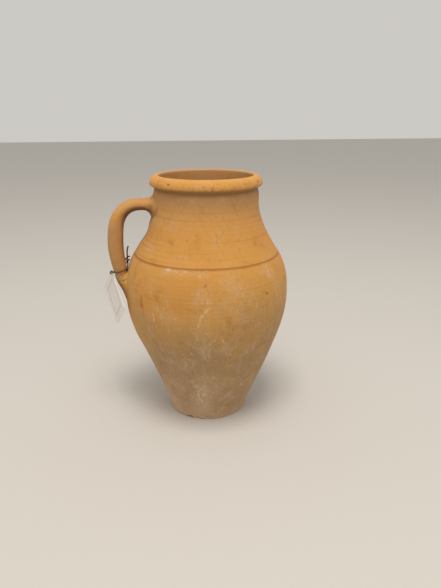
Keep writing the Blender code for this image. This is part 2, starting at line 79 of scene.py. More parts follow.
# Soft light, sky and floor
LIGHT_PLACE = Vector((-0.1, -0.7, 2.2))
LIGHT_AIM = Vector((0.0, 0.0, 0.2))
LIGHT_SIZE, LIGHT_POWER = 0.9, 30.0
LIGHT_COLOUR = (1.0, 0.95, 0.88)
SKY_STRENGTH = 0.72
FLOOR_SIZE = 14.0

# Jar's wall
SHOULDER_Z = 228.7 * MM
NECK_Z = 298.0 * MM
RIM_SEAT_Z = 313.2 * MM
NECK_RADIUS = 68.8 * MM
FOOT_WALL = 10.5 * MM
NECK_WALL = 7.0 * MM
FOOT_ROUND = 2.4 * MM
FLOOR_THICKNESS = 12.0 * MM
FLOOR_FILLET = 16.0 * MM
GROOVE_WIDTH = 3.6 * MM
GROOVE_DEPTH = 0.6 * MM

# Outer wall: height, radius and slope of each station
WALL_STATIONS = (
    (0.0, 54.0 * MM, 0.2),
    (20.0 * MM, 60.0 * MM, 0.4),
    (113.0 * MM, 97.2 * MM, 0.41),
    (172.6 * MM, 109.8 * MM, 0.0),
    (SHOULDER_Z, 96.6 * MM, -0.66),
    (NECK_Z, NECK_RADIUS, 0.0),
    (RIM_SEAT_Z, NECK_RADIUS, 0.0),
)

# Rolled rim
RIM_BOTTOM_Z = 313.0 * MM
RIM_UNDERSIDE_Z = 315.9 * MM
RIM_WIDEST_Z = 319.4 * MM
RIM_TOP_Z = 330.0 * MM
RIM_ROOT_RADIUS = 67.4 * MM
RIM_WIDEST_RADIUS = 73.4 * MM
RIM_CREST_RADIUS = 63.4 * MM
RIM_INNER_RADIUS = 61.2 * MM

# Fineness of the turned pieces
SPIN_STEPS = 288
OUTER_STEP = 1.25 * MM
INNER_STEP = 2.6 * MM
BASE_POINTS = 12
FOOT_ROUND_POINTS = 7
GROOVE_POINTS = 7
FILLET_POINTS = 9
FLOOR_POINTS = 8
RIM_ARC_POINTS = 18
RIM_WALL_POINTS = 8
PATCH_POINTS, PATCH_STEPS = 90, 180

# Thrower's marks in the clay
FAINT_LINE_Z = 238.0 * MM
FAINT_LINE_DEPTH = 0.3 * MM
FAINT_LINE_WIDTH = 1.2 * MM
UNDERCUT_DEPTH = 1.5 * MM
UNDERCUT_WIDTH = 6.5 * MM
INNER_RING_HEIGHT = 0.5 * MM
INNER_RING_PITCH = 9.0 * MM
RIDGE_HEIGHT = 0.09 * MM
RIDGE_PITCH = 5.5 * MM
RIDGE_CHANGE, RIDGE_SEED = 0.03, 4.2

# Unevenness of the clay: size of the lumps and how far they stand out
LUMPS = ((70.0 * MM, 0.5 * MM), (19.0 * MM, 0.16 * MM), (5.0 * MM, 0.07 * MM))
LUMP_SEED = Vector((3.1, 7.7, 1.3))

# Sag of the lower flank to one side, and the flat place under the handle
FLANK_SHIFT = Vector((2.0 * MM, -0.3 * MM, 0.0))
FLANK_LOW, FLANK_HIGH = 8.0 * MM, 125.0 * MM
DENT_Z, DENT_HEIGHT, DENT_DEPTH = 254.0 * MM, 16.0 * MM, 1.8 * MM
DENT_TURN = math.radians(60.0)

# Relief of the marks: how far lime stands out, and how deep pits and chips go
LIME_RELIEF = 0.2 * MM
PIT_DEPTH = 0.6 * MM
CHIP_DEPTH = 2.0 * MM

# Strength of the wheel's lines: where they are strongest, and how far they reach
WHEEL_Z, WHEEL_REACH = 248.0 * MM, 95.0 * MM

# How much of the wall's unevenness the handle has, and how far from the wall it has faded
HANDLE_EVENNESS = 0.15
HANDLE_FADE = 14.0 * MM

# Middle of the space that the fingers go through
FINGER_HOLE = Vector((-103.0, 0.0, 248.0)) * MM

# Where the handle's bow ends and its top begins
BOW_TOP_Z, BOW_FADE = 262.0 * MM, 20.0 * MM

# Dirt of the hands with painted shade, on the fingers' side of the bow and under the top:
# how far round the bow and under the top it goes, and its strength there
BOW_GRIME_AND_SHADE_REACH, BOW_GRIME_AND_SHADE = 0.3, 0.65
TOP_GRIME_AND_SHADE_REACH, TOP_GRIME_AND_SHADE_FALL = 0.35, 1.1
TOP_GRIME_AND_SHADE_AT_WALL = 0.8

# Drop of the handle's upper end, and the flare of the clay smeared round it
ROOT_DROP = 6.0 * MM
ROOT_START_X, ROOT_REACH = -100.0 * MM, 30.0 * MM
ROOT_LOW_Z, ROOT_FADE = 245.0 * MM, 15.0 * MM
ROOT_CURVE = 1.4
ROOT_AXIS_Z = 294.0 * MM
ROOT_SMEAR = 7.0 * MM
ROOT_FLARE = 0.6
ROOT_FLARE_BELOW = 0.25

# Handle skin
SKIN_SWELL = 0.25 * MM
SKIN_VOXEL = 0.7 * MM
SKIN_SMOOTHING, SKIN_SMOOTHING_FACTOR = 6, 0.5
PATCH_DEPTH = 0.45 * MM
PATCH_EDGE = 0.12 * MM
PATCH_X, PATCH_Y = -48.0 * MM, 42.0 * MM
PATCH_LOW, PATCH_HIGH = 150.0 * MM, 312.5 * MM

# Lace: its route is in millimetres out from the handle, across it and along it
LACE_DIAMETER = 2.0 * MM
LACE_SIDES = 4
LACE_STRETCH_POINTS = 8
LACE_FULLNESS, LACE_UNEVENNESS, LACE_CHANGE = 0.96, 0.06, 0.31
LACE_SMOOTH_ANGLE = math.radians(50.0)
TIE_ORIGIN = Vector((-115.93, 0.0, 207.42)) * MM
TIE_TILT = math.radians(21.5)
TAG_HOLE_PLACE = (13.4, 1.0, -0.5)
HITCH_START = (-12.7, 6.1, 4.75)
HITCH_END = (-14.3, 6.4, 9.35)
HITCH_RADIUS = 2.8
HITCH_POINTS = 9
LACE_ROUTE = (
    (-22.1, 3.0, 24.1), (-19.0, 4.4, 20.2), (-16.8, 5.4, 15.8), (-15.4, 6.2, 12.0),
    HITCH_END, HITCH_START, (-11.6, 4.4, 2.2), (-10.6, 1.6, 0.8),
    (-10.3, -1.6, 0.4), (-9.5, -6.2, 0.2), (-7.3, -9.7, 0.1), (-3.0, -12.2, 0.0),
    (3.0, -12.2, 0.3), (7.3, -9.9, 1.3), (9.4, -7.6, 2.6), (10.6, -4.6, 3.7),
    (12.9, -3.2, 2.9), (14.2, -0.7, 0.9), TAG_HOLE_PLACE, (12.4, 2.5, -1.2),
    (9.9, 6.0, -1.0), (7.4, 9.8, -0.4), (3.0, 12.2, 0.2), (-3.0, 12.3, 0.9),
    (-7.1, 11.2, 1.9), (-10.4, 10.2, 3.2),
)
LACE_SHORT_TAIL = ((-16.0, 11.2, 9.2), (-17.0, 13.4, 8.2))

# Card tag
TAG_WIDTH = 54.0 * MM
TAG_LENGTH = 59.0 * MM
TAG_THICKNESS = 0.6 * MM
TAG_CORNER = 3.0 * MM
TAG_HOLE = 5.0 * MM
TAG_HOLE_INSET = 4.5 * MM
TAG_TURN = math.radians(19.5)
TAG_LEAN = math.radians(4.0)
TAG_CURL = 1.2 * MM
TAG_BOW, TAG_WAVE, TAG_WAVES = 1.4, 0.3, 3.0
TAG_CELLS = (54, 60)
TAG_CORNER_STEPS = 8
TAG_HOLE_SIDES = 40
TAG_SMOOTH_ANGLE = math.radians(30.0)

# Gilt line on the card: its distance from the edge and half its width, in millimetres
GILT_INSET, GILT_HALF_WIDTH = 10.0, 0.45


def srgb(red, green, blue):
    """A colour given as 0 to 255 values of a screen, as linear values."""
    values = [value / 255.0 for value in (red, green, blue)]
    linear = [v / 12.92 if v <= 0.04045 else ((v + 0.055) / 1.055) ** 2.4 for v in values]
    return (*linear, 1.0)


# Camera, floor and light


def place_camera():
    bpy.ops.object.camera_add(location=CAMERA_PLACE, rotation=CAMERA_TURN)
    camera = bpy.context.object
    camera.name = "photo_camera"
    camera.data.lens = CAMERA_LENS
    camera.data.sensor_width = SENSOR_WIDTH
    camera.data.clip_start = NEAREST_SEEN
    bpy.context.scene.camera = camera


def ceiling_light():
    bpy.ops.object.light_add(type="AREA", location=LIGHT_PLACE)
    light = bpy.context.object
    light.name = "ceiling"
    light.data.size = LIGHT_SIZE
    light.data.energy = LIGHT_POWER
    light.data.color = LIGHT_COLOUR
    light.rotation_euler = (LIGHT_AIM - LIGHT_PLACE).to_track_quat("-Z", "Y").to_euler()


def studio():
    bpy.ops.mesh.primitive_plane_add(size=FLOOR_SIZE)
    floor = bpy.context.object
    floor.name = "pale_floor"
    floor.data.materials.append(floor_finish())
    ceiling_light()
    world = bpy.context.scene.world or bpy.data.worlds.new("studio")
    bpy.context.scene.world = world
    world.use_nodes = True
    back = world.node_tree.nodes["Background"]
    back.inputs["Color"].default_value = srgb(236, 233, 228)
    back.inputs["Strength"].default_value = SKY_STRENGTH
    bpy.context.scene.view_settings.view_transform = "Standard"


# Jar's form


def wall_radius_and_slope(height):
    """The wall's outer radius at a height, and how fast it grows there."""
    if height >= RIM_SEAT_Z:
        return NECK_RADIUS, 0.0
    for low, high in zip(WALL_STATIONS, WALL_STATIONS[1:]):
        if height < high[0]:
            break
    rise = high[0] - low[0]
    t = max(0.0, (height - low[0]) / rise)
    radius = (
        (2 * t**3 - 3 * t**2 + 1) * low[1]
        + (t**3 - 2 * t**2 + t) * rise * low[2]
        + (3 * t**2 - 2 * t**3) * high[1]
        + (t**3 - t**2) * rise * high[2]
    )
    slope = (
        6 * (t**2 - t) * (low[1] - high[1]) / rise
        + (3 * t**2 - 4 * t + 1) * low[2]
        + (3 * t**2 - 2 * t) * high[2]
    )
    return radius, slope


def wall_point(height, depth=0.0, along=0.0):
    """A point of the section, so deep under the wall's surface and so far along it."""
    radius, slope = wall_radius_and_slope(height)
    size = math.hypot(1.0, slope)
    return (
        radius - depth / size + along * slope / size,
        height + depth * slope / size + along / size,
    )


def out_of_wall(place):
    """How far a point stands out of the wall, below zero under its surface."""
    return math.hypot(place.x, place.y) - wall_radius_and_slope(place.z)[0]


def wall_thickness(height):
    return FOOT_WALL + (NECK_WALL - FOOT_WALL) * height / RIM_SEAT_Z


def rim_radius(height):
    """The rim's outer radius: a tight round underneath and a wide one up to the crest."""
    if height < RIM_WIDEST_Z:
        start, rise = RIM_ROOT_RADIUS, RIM_WIDEST_Z - RIM_UNDERSIDE_Z
    else:
        start, rise = RIM_CREST_RADIUS, RIM_TOP_Z - RIM_WIDEST_Z
    up = min(abs(height - RIM_WIDEST_Z) / rise, 1.0)
    return start + (RIM_WIDEST_RADIUS - start) * math.sqrt(1.0 - up**2)


def outer_radius(height):
    """The jar's outermost radius at a height, rim included."""
    if height > RIM_TOP_Z:
        return 0.0
    return rim_radius(height) if height > RIM_UNDERSIDE_Z else wall_radius_and_slope(height)[0]


def heights(low, high, count):
    """Evenly spaced values from one end to the other."""
    return [low + (high - low) * step / (count - 1) for step in range(count)]


def count_for(low, high, step):
    return max(2, round(abs(high - low) / step) + 1)


def bezier(points, t):
    level = list(points)
    while len(level) > 1:
        level = [
            tuple(a * (1.0 - t) + b * t for a, b in zip(here, there))
            for here, there in zip(level, level[1:])
        ]
    return level[0]


def share(value):
    """A value kept between 0 and 1."""
    return min(max(value, 0.0), 1.0)


def dip(distance, width):
    """1 in the middle of a mark, falling to 0 at its width."""
    return (1.0 - min(abs(distance) / width, 1.0) ** 2) ** 2


def outer_wall(low, high):
    points = []
    for height in heights(low, high, count_for(low, high, OUTER_STEP)):
        faint = FAINT_LINE_DEPTH * dip(height - FAINT_LINE_Z, FAINT_LINE_WIDTH)
        undercut = UNDERCUT_DEPTH * dip(height - RIM_SEAT_Z, UNDERCUT_WIDTH)
        points.append(wall_point(height, faint + undercut))
    return points


def inner_wall(high, low):
    """The inside with the rings that the thrower's fingers left."""
    points = []
    for height in heights(high, low, count_for(low, high, INNER_STEP)):
        ring = INNER_RING_HEIGHT * math.sin(math.tau * height / INNER_RING_PITCH)
        points.append(wall_point(height, wall_thickness(height) - ring / 2.0))
    return points


def groove_half(direction):
    """Half of the incised line, from the wall to its bottom; direction is +1 above, -1 below."""
    half = GROOVE_WIDTH / 2.0
    return [
        wall_point(SHOULDER_Z, GROOVE_DEPTH * dip(away, half), direction * away)
        for away in heights(half, 0.0, GROOVE_POINTS)
    ]


# Modelling


def deselect_all():
    bpy.ops.object.select_all(action="DESELECT")


def pick(obj):
    deselect_all()
    obj.select_set(True)
    bpy.context.view_layer.objects.active = obj


def start_edit(obj, select="SELECT"):
    pick(obj)
    bpy.ops.object.mode_set(mode="EDIT")
    bpy.ops.mesh.select_all(action=select)


def end_edit():
    bpy.ops.object.mode_set(mode="OBJECT")


def close_seams(obj):
    """Merges the points that meet, and turns all faces outwards."""
    start_edit(obj)
    bpy.ops.mesh.remove_doubles(threshold=WELD)
    bpy.ops.mesh.normals_make_consistent(inside=False)
    end_edit()


def use_modifier(obj, kind, **settings):
    """Adds a modifier with these settings and applies it."""
    pick(obj)
    modifier = obj.modifiers.new(kind.lower(), kind)
    for key, value in settings.items():
        setattr(modifier, key, value)
    bpy.ops.object.modifier_apply(modifier=modifier.name)


def turned(name, profile, steps=SPIN_STEPS):
    """A section drawn point by point beside the axis and spun round it, as on the wheel."""
    deselect_all()
    bpy.ops.mesh.primitive_plane_add(size=MM)
    obj = bpy.context.object
    obj.name = obj.data.name = name
    bpy.ops.object.mode_set(mode="EDIT")
    bpy.ops.mesh.select_all(action="SELECT")
    bpy.ops.mesh.merge(type="CENTER")
    points = [Vector((radius, 0.0, height)) for radius, height in profile]
    bpy.ops.transform.translate(value=points[0])
    for here, there in zip(points, points[1:]):
        bpy.ops.mesh.extrude_vertices_move(TRANSFORM_OT_translate={"value": there - here})
    bpy.ops.mesh.select_all(action="SELECT")
    bpy.ops.mesh.spin(
        steps=steps, angle=math.tau, use_auto_merge=True, center=(0, 0, 0), axis=(0, 0, 1)
    )
    end_edit()
    close_seams(obj)
    bpy.ops.object.shade_smooth()
    return obj


def uneven(place):
    """A point of the clay, moved as an uneven hand left it."""
    radius = math.hypot(place.x, place.y)
    if radius < MM:
        return place
    turn = math.atan2(place.y, place.x)
    outwards = Vector((place.x / radius, place.y / radius, 0.0))
    move = 0.0
    for number, (size, height) in enumerate(LUMPS):
        move += height * noise.noise(place / size + LUMP_SEED * number)
    strength = 0.5 + 0.5 * noise.noise(Vector((0.0, RIDGE_SEED, place.z / RIDGE_CHANGE)))
    move += RIDGE_HEIGHT * strength * math.sin(math.tau * place.z / RIDGE_PITCH + turn)
    from_handle = math.remainder(turn - math.pi, math.tau)
    move -= DENT_DEPTH * dip(place.z - DENT_Z, DENT_HEIGHT) * dip(from_handle, DENT_TURN)
    away = max(out_of_wall(place), 0.0)
    move *= HANDLE_EVENNESS + (1.0 - HANDLE_EVENNESS) * dip(away, HANDLE_FADE)
    middle = (FLANK_LOW + FLANK_HIGH) / 2.0
    sag = dip(place.z - middle, (FLANK_HIGH - FLANK_LOW) / 2.0)
    return place + outwards * move + FLANK_SHIFT * sag


def settle(obj, lime, soot_and_crease_shade, chips):
    """Makes the clay uneven and gives its marks their relief."""
    up = Vector((0.0, 0.0, 1.0))
    for vert, crust, pit, chip in zip(obj.data.vertices, lime, soot_and_crease_shade, chips):
        place = uneven(vert.co)
        outwards = Vector((place.x, place.y, 0.0)).normalized()
        place += outwards * (LIME_RELIEF * crust - PIT_DEPTH * pit)
        vert.co = place + (up - outwards) * CHIP_DEPTH * chip


def make_lower_wall():
    """Base, foot and belly, up to the bottom of the incised line, with the floor inside."""
    edge_radius, _ = wall_point(FOOT_ROUND)
    foot_edge = [
        bezier(((edge_radius - FOOT_ROUND, 0.0), (edge_radius, 0.0), (edge_radius, FOOT_ROUND)), t)
        for t in heights(0.0, 1.0, FOOT_ROUND_POINTS)
    ]
    base = [(radius, 0.0) for radius in heights(0.0, edge_radius - FOOT_ROUND, BASE_POINTS)[:-1]]
    outer = outer_wall(FOOT_ROUND, SHOULDER_Z - GROOVE_WIDTH / 2.0)[1:-1]
    wall_end = FLOOR_THICKNESS + FLOOR_FILLET
    inner = inner_wall(SHOULDER_Z, wall_end)[:-1]
    start = wall_point(wall_end, wall_thickness(wall_end))
    corner = (wall_point(FLOOR_THICKNESS, wall_thickness(FLOOR_THICKNESS))[0], FLOOR_THICKNESS)
    end = (corner[0] - FLOOR_FILLET, FLOOR_THICKNESS)
    fillet = [bezier((start, corner, end), t) for t in heights(0.0, 1.0, FILLET_POINTS)]
    floor = [(radius, FLOOR_THICKNESS) for radius in heights(end[0], 0.0, FLOOR_POINTS)[1:]]
    profile = base + foot_edge + outer + groove_half(-1.0) + inner + fillet + floor
    return turned("jar_lower_wall", profile)


def make_shoulder_wall():
    """Shoulder and neck, from the bottom of the incised line to the rim's seat."""
    outer = outer_wall(SHOULDER_Z + GROOVE_WIDTH / 2.0, RIM_SEAT_Z)[1:]
    inner = [(NECK_RADIUS - NECK_WALL, RIM_SEAT_Z)] + inner_wall(RIM_SEAT_Z, SHOULDER_Z)[1:]
    joint = groove_half(1.0)[::-1]
    return turned("jar_shoulder_wall", joint + outer + inner + joint[:1])


def make_rim():
    """A roll that leans outwards from its crest, and is drawn in under its widest place."""
    quarter = heights(0.0, math.pi / 2.0, RIM_ARC_POINTS)
    section = [(RIM_ROOT_RADIUS, height) for height in (RIM_BOTTOM_Z, RIM_BOTTOM_Z + MM)]
    section += [
        (rim_radius(height), height)
        for turn in quarter
        for height in [RIM_WIDEST_Z - (RIM_WIDEST_Z - RIM_UNDERSIDE_Z) * math.cos(turn)]
    ]
    section += [
        (rim_radius(height), height)
        for turn in quarter[1:]
        for height in [RIM_WIDEST_Z + (RIM_TOP_Z - RIM_WIDEST_Z) * math.sin(turn)]
    ]
    edge = RIM_CREST_RADIUS - RIM_INNER_RADIUS
    section += [
        (RIM_CREST_RADIUS - edge * math.sin(turn), RIM_TOP_Z - edge * (1.0 - math.cos(turn)))
        for turn in quarter[1::3]
    ]
    inside = zip(
        heights(RIM_INNER_RADIUS, NECK_RADIUS - NECK_WALL, RIM_WALL_POINTS),
        heights(RIM_TOP_Z - edge, RIM_BOTTOM_Z, RIM_WALL_POINTS),
    )
    section += list(inside)[1:]
    return turned("rim_roll", section + section[:1])


# Handle


def wall_patch():
    """The side of the jar that the handle grows from, just under the surface."""
    levels = heights(PATCH_LOW, PATCH_HIGH, PATCH_POINTS)
    skin = [wall_point(height, PATCH_DEPTH) for height in levels]
    profile = [(0.0, skin[0][1])] + skin + [(0.0, skin[-1][1])]
    patch = turned("wall_patch", profile, PATCH_STEPS)
    planes = (
        ((PATCH_X, 0.0, 0.0), (1.0, 0.0, 0.0)),
        ((0.0, PATCH_Y, 0.0), (0.0, 1.0, 0.0)),
        ((0.0, -PATCH_Y, 0.0), (0.0, -1.0, 0.0)),
    )
    for place, way in planes:
        start_edit(patch)
        bpy.ops.mesh.bisect(plane_co=place, plane_no=way, use_fill=True, clear_outer=True)
        end_edit()
    return patch


def copied_solid(node_name):
    """A merged copy of one of the CAD solids."""
    source = frame["nodes"][node_name]
    data = source.data.copy()
    data.transform(source.matrix_world)
    obj = bpy.data.objects.new("copied_" + node_name, data)
    bpy.context.scene.collection.objects.link(obj)
    start_edit(obj)
    bpy.ops.mesh.remove_doubles(threshold=WELD)
    end_edit()
    return obj


def lower_root(obj):
    """Brings the handle's upper end down, so that it leaves the neck level."""
    for vert in obj.data.vertices:
        near = share((vert.co.x - ROOT_START_X) / ROOT_REACH)
        high = share((vert.co.z - ROOT_LOW_Z) / ROOT_FADE)
        vert.co.z -= ROOT_DROP * near**ROOT_CURVE * high


def flare_root(lute):
    """Spreads the smeared clay of the upper end where it meets the neck."""
    for vert in lute.data.vertices:
        away = max(out_of_wall(vert.co), 0.0)
        rise = vert.co.z - ROOT_AXIS_Z
        flare = ROOT_FLARE if rise > 0.0 else ROOT_FLARE_BELOW
        vert.co.z += rise * flare * max(1.0 - away / ROOT_SMEAR, 0.0) ** 2


def enclosed_volume(obj):
    """The room in a closed piece, below zero where its faces point inwards."""
    mesh = obj.data
    mesh.calc_loop_triangles()
    corners = ([mesh.vertices[index].co for index in face.vertices] for face in mesh.loop_triangles)
    return sum(a.dot(b.cross(c)) for a, b, c in corners) / 6.0


def joined_handle():
    """Handle, its smeared ends and the wall they grow from, joined under one smooth skin."""
    parts = [copied_solid(name) for name in ("handle", "handle_top_lute", "handle_foot_lute")]
    for part in parts:
        lower_root(part)
    flare_root(parts[1])
    parts.append(wall_patch())
    deselect_all()
    for part in parts:
        part.select_set(True)
    bpy.context.view_layer.objects.active = parts[0]
    bpy.ops.object.join()
    handle = bpy.context.object
    handle.name = handle.data.name = "pulled_handle"
    handle.data.materials.clear()
    use_modifier(handle, "DISPLACE", strength=SKIN_SWELL, mid_level=0.0)
    use_modifier(handle, "REMESH", mode="VOXEL", voxel_size=SKIN_VOXEL)
    use_modifier(handle, "SMOOTH", factor=SKIN_SMOOTHING_FACTOR, iterations=SKIN_SMOOTHING)
    return handle


def cut_at_wall(handle):
    """Takes away all that lies under the wall, and every bit not linked to the handle."""
    start_edit(handle, "DESELECT")
    end_edit()
    for vert in handle.data.vertices:
        vert.select = out_of_wall(vert.co) < -PATCH_EDGE
    bpy.ops.object.mode_set(mode="EDIT")
    bpy.ops.mesh.select_mode(type="VERT")
    bpy.ops.mesh.delete(type="VERT")
    end_edit()
    outermost = min(handle.data.vertices, key=lambda vert: vert.co.x)
    outermost.select = True
    bpy.ops.object.mode_set(mode="EDIT")
    bpy.ops.mesh.select_linked()
    bpy.ops.mesh.select_all(action="INVERT")
    bpy.ops.mesh.delete(type="VERT")
    end_edit()


def close_ends(handle):
    """Fills the open ends with a fan of faces, so that no face is made twice at their edges."""
    start_edit(handle)
    bpy.ops.mesh.fill_holes(sides=0)
    bpy.ops.mesh.select_face_by_sides(number=4, type="GREATER", extend=False)
    bpy.ops.mesh.poke()
    bpy.ops.mesh.select_all(action="SELECT")
    bpy.ops.mesh.quads_convert_to_tris()
    bpy.ops.mesh.normals_make_consistent(inside=False)
    end_edit()
    if enclosed_volume(handle) < 0.0:
        start_edit(handle)
        bpy.ops.mesh.flip_normals()
        end_edit()


def make_handle():
    """Handle and its smeared ends as one skin that runs into the wall."""
    handle = joined_handle()
    cut_at_wall(handle)
    close_ends(handle)
    bpy.ops.object.shade_smooth()
    return handle


# Lace and tag


def tie_point(route_point):
    """A point of the lace's route, in the jar's frame."""
    out = Vector((-math.cos(TIE_TILT), 0.0, -math.sin(TIE_TILT)))
    along = Vector((-math.sin(TIE_TILT), 0.0, math.cos(TIE_TILT)))
    a, b, c = (value * MM for value in route_point)
    return TIE_ORIGIN + out * a + Vector((0.0, b, 0.0)) + along * c


def hitch():
    """One turn of the lace round its own long tail."""
    points = []
    for done in heights(0.0, 1.0, HITCH_POINTS):
        turn = math.radians(90.0 + 360.0 * done)
        a, b, c = (low + (high - low) * done for low, high in zip(HITCH_START, HITCH_END))
        points.append((a + HITCH_RADIUS * math.cos(turn), b + HITCH_RADIUS * math.sin(turn), c))
    return points


def smooth_route(points, per_stretch):
    """Points of the smooth curve through the route's own points."""
    ends = [points[0] * 2.0 - points[1]] + list(points) + [points[-1] * 2.0 - points[-2]]
    fine = []
    for p0, p1, p2, p3 in zip(ends, ends[1:], ends[2:], ends[3:]):
        for t in heights(0.0, 1.0, per_stretch + 1)[:-1]:
            fine.append(
                p1
                + (p2 - p0) * (0.5 * t)
                + (p0 * 2.0 - p1 * 5.0 + p2 * 4.0 - p3) * (0.5 * t**2)
                + (p1 * 3.0 - p0 - p2 * 3.0 + p3) * (0.5 * t**3)
            )
    return fine + [points[-1]]


def make_lace():
    """A slightly uneven lace along its whole route: tail, tie, tag's hole, hitch and short tail."""
    route = [tie_point(point) for point in (*LACE_ROUTE, *hitch(), *LACE_SHORT_TAIL)]
    points = smooth_route(route, LACE_STRETCH_POINTS)
    curve = bpy.data.curves.new("leather_lace", "CURVE")
    curve.dimensions = "3D"
    curve.bevel_depth = LACE_DIAMETER / 2.0
    curve.bevel_resolution = LACE_SIDES
    curve.use_fill_caps = True
    spline = curve.splines.new("POLY")
    spline.points.add(len(points) - 1)
    for number, (spot, place) in enumerate(zip(spline.points, points)):
        spot.co = (*place, 1.0)
        change = noise.noise(Vector((number * LACE_CHANGE, 2.0, 5.0)))
        spot.radius = LACE_FULLNESS + LACE_UNEVENNESS * change
    lace = bpy.data.objects.new("leather_lace", curve)
    bpy.context.scene.collection.objects.link(lace)
    pick(lace)
    bpy.ops.object.convert(target="MESH")
    lace = bpy.context.object
    close_seams(lace)
    bpy.ops.object.shade_smooth_by_angle(angle=LACE_SMOOTH_ANGLE)
    return lace


def tag_matrix():
    """The tag's frame at its hole: X to the jar's front, -Y out of the hole, Z up in the card."""
    front = Vector((math.sin(TAG_TURN), -math.cos(TAG_TURN), 0.0))
    level_out = Vector((-math.cos(TAG_TURN), -math.sin(TAG_TURN), 0.0))
    up = Vector((0.0, 0.0, math.cos(TAG_LEAN))) + level_out * math.sin(TAG_LEAN)
    turn = Matrix((front, up.cross(front), up)).transposed().to_4x4()
    return Matrix.Translation(tie_point(TAG_HOLE_PLACE)) @ turn


def flat_card(middle_x, middle_z):
    """The card before it hangs: cut from a larger sheet with rounded corners, and punched."""
    deselect_all()
    columns, rows = TAG_CELLS
    bpy.ops.mesh.primitive_grid_add(x_subdivisions=columns, y_subdivisions=rows, size=1.0)
    card = bpy.context.object
    card.name = card.data.name = "card_tag"
    bpy.ops.object.mode_set(mode="EDIT")
    bpy.ops.transform.resize(value=(TAG_WIDTH * 1.1, TAG_LENGTH * 1.1, 1.0))
    end_edit()
    use_modifier(card, "SOLIDIFY", thickness=TAG_THICKNESS, offset=0.0)

    bpy.ops.mesh.primitive_cube_add(size=1.0)
    cutter = bpy.context.object
    bpy.ops.object.mode_set(mode="EDIT")
    bpy.ops.transform.resize(value=(TAG_WIDTH, TAG_LENGTH, 10.0 * TAG_THICKNESS))
    bpy.ops.mesh.select_all(action="DESELECT")
    end_edit()
    for edge in cutter.data.edges:
        low, high = (cutter.data.vertices[index].co for index in edge.vertices)
        edge.select = abs(low.z - high.z) > TAG_THICKNESS
    bpy.ops.object.mode_set(mode="EDIT")
    bpy.ops.mesh.select_mode(type="EDGE")
    bpy.ops.mesh.bevel(offset=TAG_CORNER, segments=TAG_CORNER_STEPS, affect="EDGES")
    end_edit()
    use_modifier(card, "BOOLEAN", operation="INTERSECT", solver="EXACT", object=cutter)
    bpy.data.objects.remove(cutter, do_unlink=True)

    bpy.ops.mesh.primitive_cylinder_add(
        vertices=TAG_HOLE_SIDES, radius=TAG_HOLE / 2.0, depth=TAG_HOLE,
        location=(-middle_x, -middle_z, 0.0),
    )
    punch = bpy.context.object
    use_modifier(card, "BOOLEAN", operation="DIFFERENCE", solver="MANIFOLD", object=punch)
    bpy.data.objects.remove(punch, do_unlink=True)
    return card


def make_tag():
    """A punched card, a little curled, that hangs by its corner."""
    middle_x = TAG_HOLE_INSET - TAG_WIDTH / 2.0
    middle_z = TAG_HOLE_INSET - TAG_LENGTH / 2.0
    card = flat_card(middle_x, middle_z)
    print_map = card.data.uv_layers.new(name="card_print")
    for loop in card.data.loops:
        place = card.data.vertices[loop.vertex_index].co
        print_map.data[loop.index].uv = (place.x / TAG_WIDTH + 0.5, place.y / TAG_LENGTH + 0.5)
    hang = math.atan2(-middle_x, -middle_z)
    to_jar = tag_matrix()
    for vert in card.data.vertices:
        x, z, y = vert.co.x + middle_x, vert.co.y + middle_z, vert.co.z
        from_hole = math.hypot(x, z) / math.hypot(TAG_WIDTH, TAG_LENGTH)
        wave = TAG_WAVE * math.sin(TAG_WAVES * x / TAG_WIDTH)
        curl = TAG_CURL * (from_hole**2 * TAG_BOW - wave)
        turned_x = x * math.cos(hang) - z * math.sin(hang)
        turned_z = x * math.sin(hang) + z * math.cos(hang)
        vert.co = to_jar @ Vector((turned_x, y - curl * from_hole, turned_z))
    close_seams(card)
    bpy.ops.object.shade_smooth_by_angle(angle=TAG_SMOOTH_ANGLE)
    return card


# Marks that time left on the clay


def sight_line(x, y):
    """The way from the camera through a point of the photograph."""
    middle_x, middle_y = PHOTO_MIDDLE
    way = Vector(((x - middle_x) / PHOTO_FOCUS, (middle_y - y) / PHOTO_FOCUS, -1.0))
    return (CAMERA_TURN.to_matrix() @ way).normalized()


def seen_on_jar(x, y):
    """Where the line of sight through a point of the photograph meets the jar."""
    way = sight_line(x, y)
    for step in range(SIGHT_STEPS):
        place = CAMERA_PLACE + way * (SIGHT_START + step * SIGHT_STEP)
        if math.hypot(place.x, place.y) < outer_radius(place.z):
            break
    return place


def seen_on(piece):
    """The same, for a line of sight that meets one piece."""
    def seen(x, y):
        _, place, _, _ = piece.ray_cast(CAMERA_PLACE, sight_line(x, y))
        return place
    return seen


